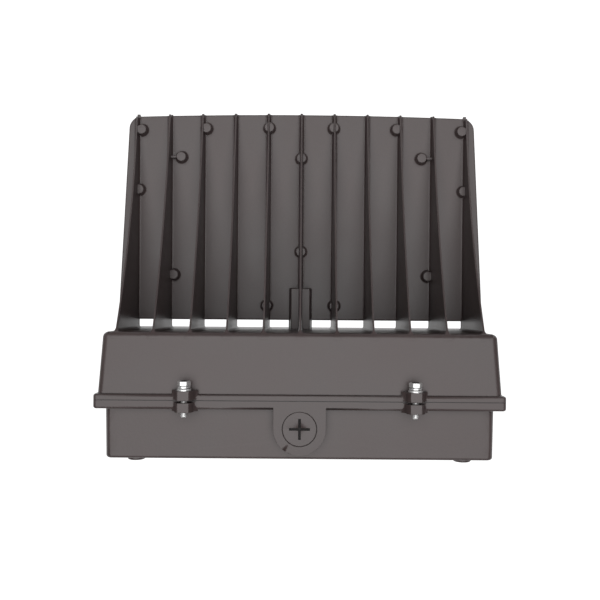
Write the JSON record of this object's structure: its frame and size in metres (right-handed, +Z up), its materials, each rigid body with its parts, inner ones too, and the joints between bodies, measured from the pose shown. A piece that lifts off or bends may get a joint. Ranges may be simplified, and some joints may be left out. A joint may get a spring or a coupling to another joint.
{
  "type": "wall pack light",
  "caption": "Full-cutoff LED wall pack: finned cast lamp head across an open air gap from a driver housing that hinges down from a cast wall box.",
  "frame": {"origin": "middle of the wall plane, at the centre of the four mounting pads' faces", "axes": "+Y into the wall, so the lamp head reaches out along -Y; +Z up, with the fins on top; +X along the wall"},
  "size_m": [0.36, 0.3299, 0.1766],
  "materials": {
    "bronze_casting": "dark bronze polyester powder coat on die-cast aluminium, satin, fine texture",
    "bronze_plug": "dark bronze powder coat on a cast plug, satin",
    "silicone_seal": "grey silicone, matte",
    "foam_seal": "black closed-cell foam, matte",
    "black_rubber": "black rubber, matte",
    "stainless_steel": "bright turned stainless steel",
    "zinc_screw": "zinc plated steel",
    "green_screw": "green dyed plated steel",
    "white_board": "white solder mask on an aluminium board",
    "led_phosphor": "yellow phosphor under clear silicone",
    "white_reflector": "white semi-gloss formed reflector",
    "clear_glass": "clear tempered glass",
    "galvanised_steel": "galvanised sheet steel",
    "driver_case": "bare white-lacquered metal can",
    "surge_case": "black moulded case",
    "terminal_plastic": "cream moulded polyamide",
    "red_black_wire": "red and black insulated wire",
    "line_wire": "black, white and green insulated wire",
    "surge_wire": "white insulated wire"
  },
  "bodies": {
    "back_box": {"back_box": "bronze_casting", "box_gasket": "silicone_seal", "hinge_pins": "stainless_steel", "wall_gasket": "foam_seal", "ground_screw": "green_screw", "plug_o_rings": "silicone_seal", "conduit_plug_top": "bronze_plug", "conduit_plug_bottom": "bronze_plug", "conduit_plug_left": "bronze_plug", "conduit_plug_right": "bronze_plug"},
    "front_housing": {"front_housing": "bronze_casting", "led_board": "white_board", "led_packages": "led_phosphor", "board_screws": "zinc_screw", "reflector": "white_reflector", "lens_gasket": "silicone_seal", "lens_glass": "clear_glass", "lens_frame": "bronze_casting", "lens_frame_screws": "stainless_steel", "driver_tray": "galvanised_steel", "tray_screws": "zinc_screw", "led_driver": "driver_case", "surge_protector": "surge_case", "terminal_block": "terminal_plastic", "component_screws": "zinc_screw", "wire_bushing": "black_rubber", "led_leads": "red_black_wire", "line_leads": "line_wire", "surge_leads": "surge_wire"},
    "cover_bolt_left": {"cover_bolt_left": "stainless_steel", "cover_lock_washer_left": "stainless_steel", "cover_flat_washer_left": "stainless_steel"},
    "cover_bolt_right": {"cover_bolt_right": "stainless_steel", "cover_lock_washer_right": "stainless_steel", "cover_flat_washer_right": "stainless_steel"}
  },
  "joints": [
    {"name": "housing_hinge", "type": "hinge", "parent": "back_box", "child": "front_housing", "pos_m": [0, -0.058, -0.084], "axis": [1, 0, 0], "range_deg": [0, 90]},
    {"name": "bolt_slide_left", "type": "slide", "parent": "front_housing", "child": "cover_bolt_left", "axis": [0, -1, 0], "range_m": [0, 0.015]},
    {"name": "bolt_slide_right", "type": "slide", "parent": "front_housing", "child": "cover_bolt_right", "axis": [0, -1, 0], "range_m": [0, 0.015]}
  ]
}
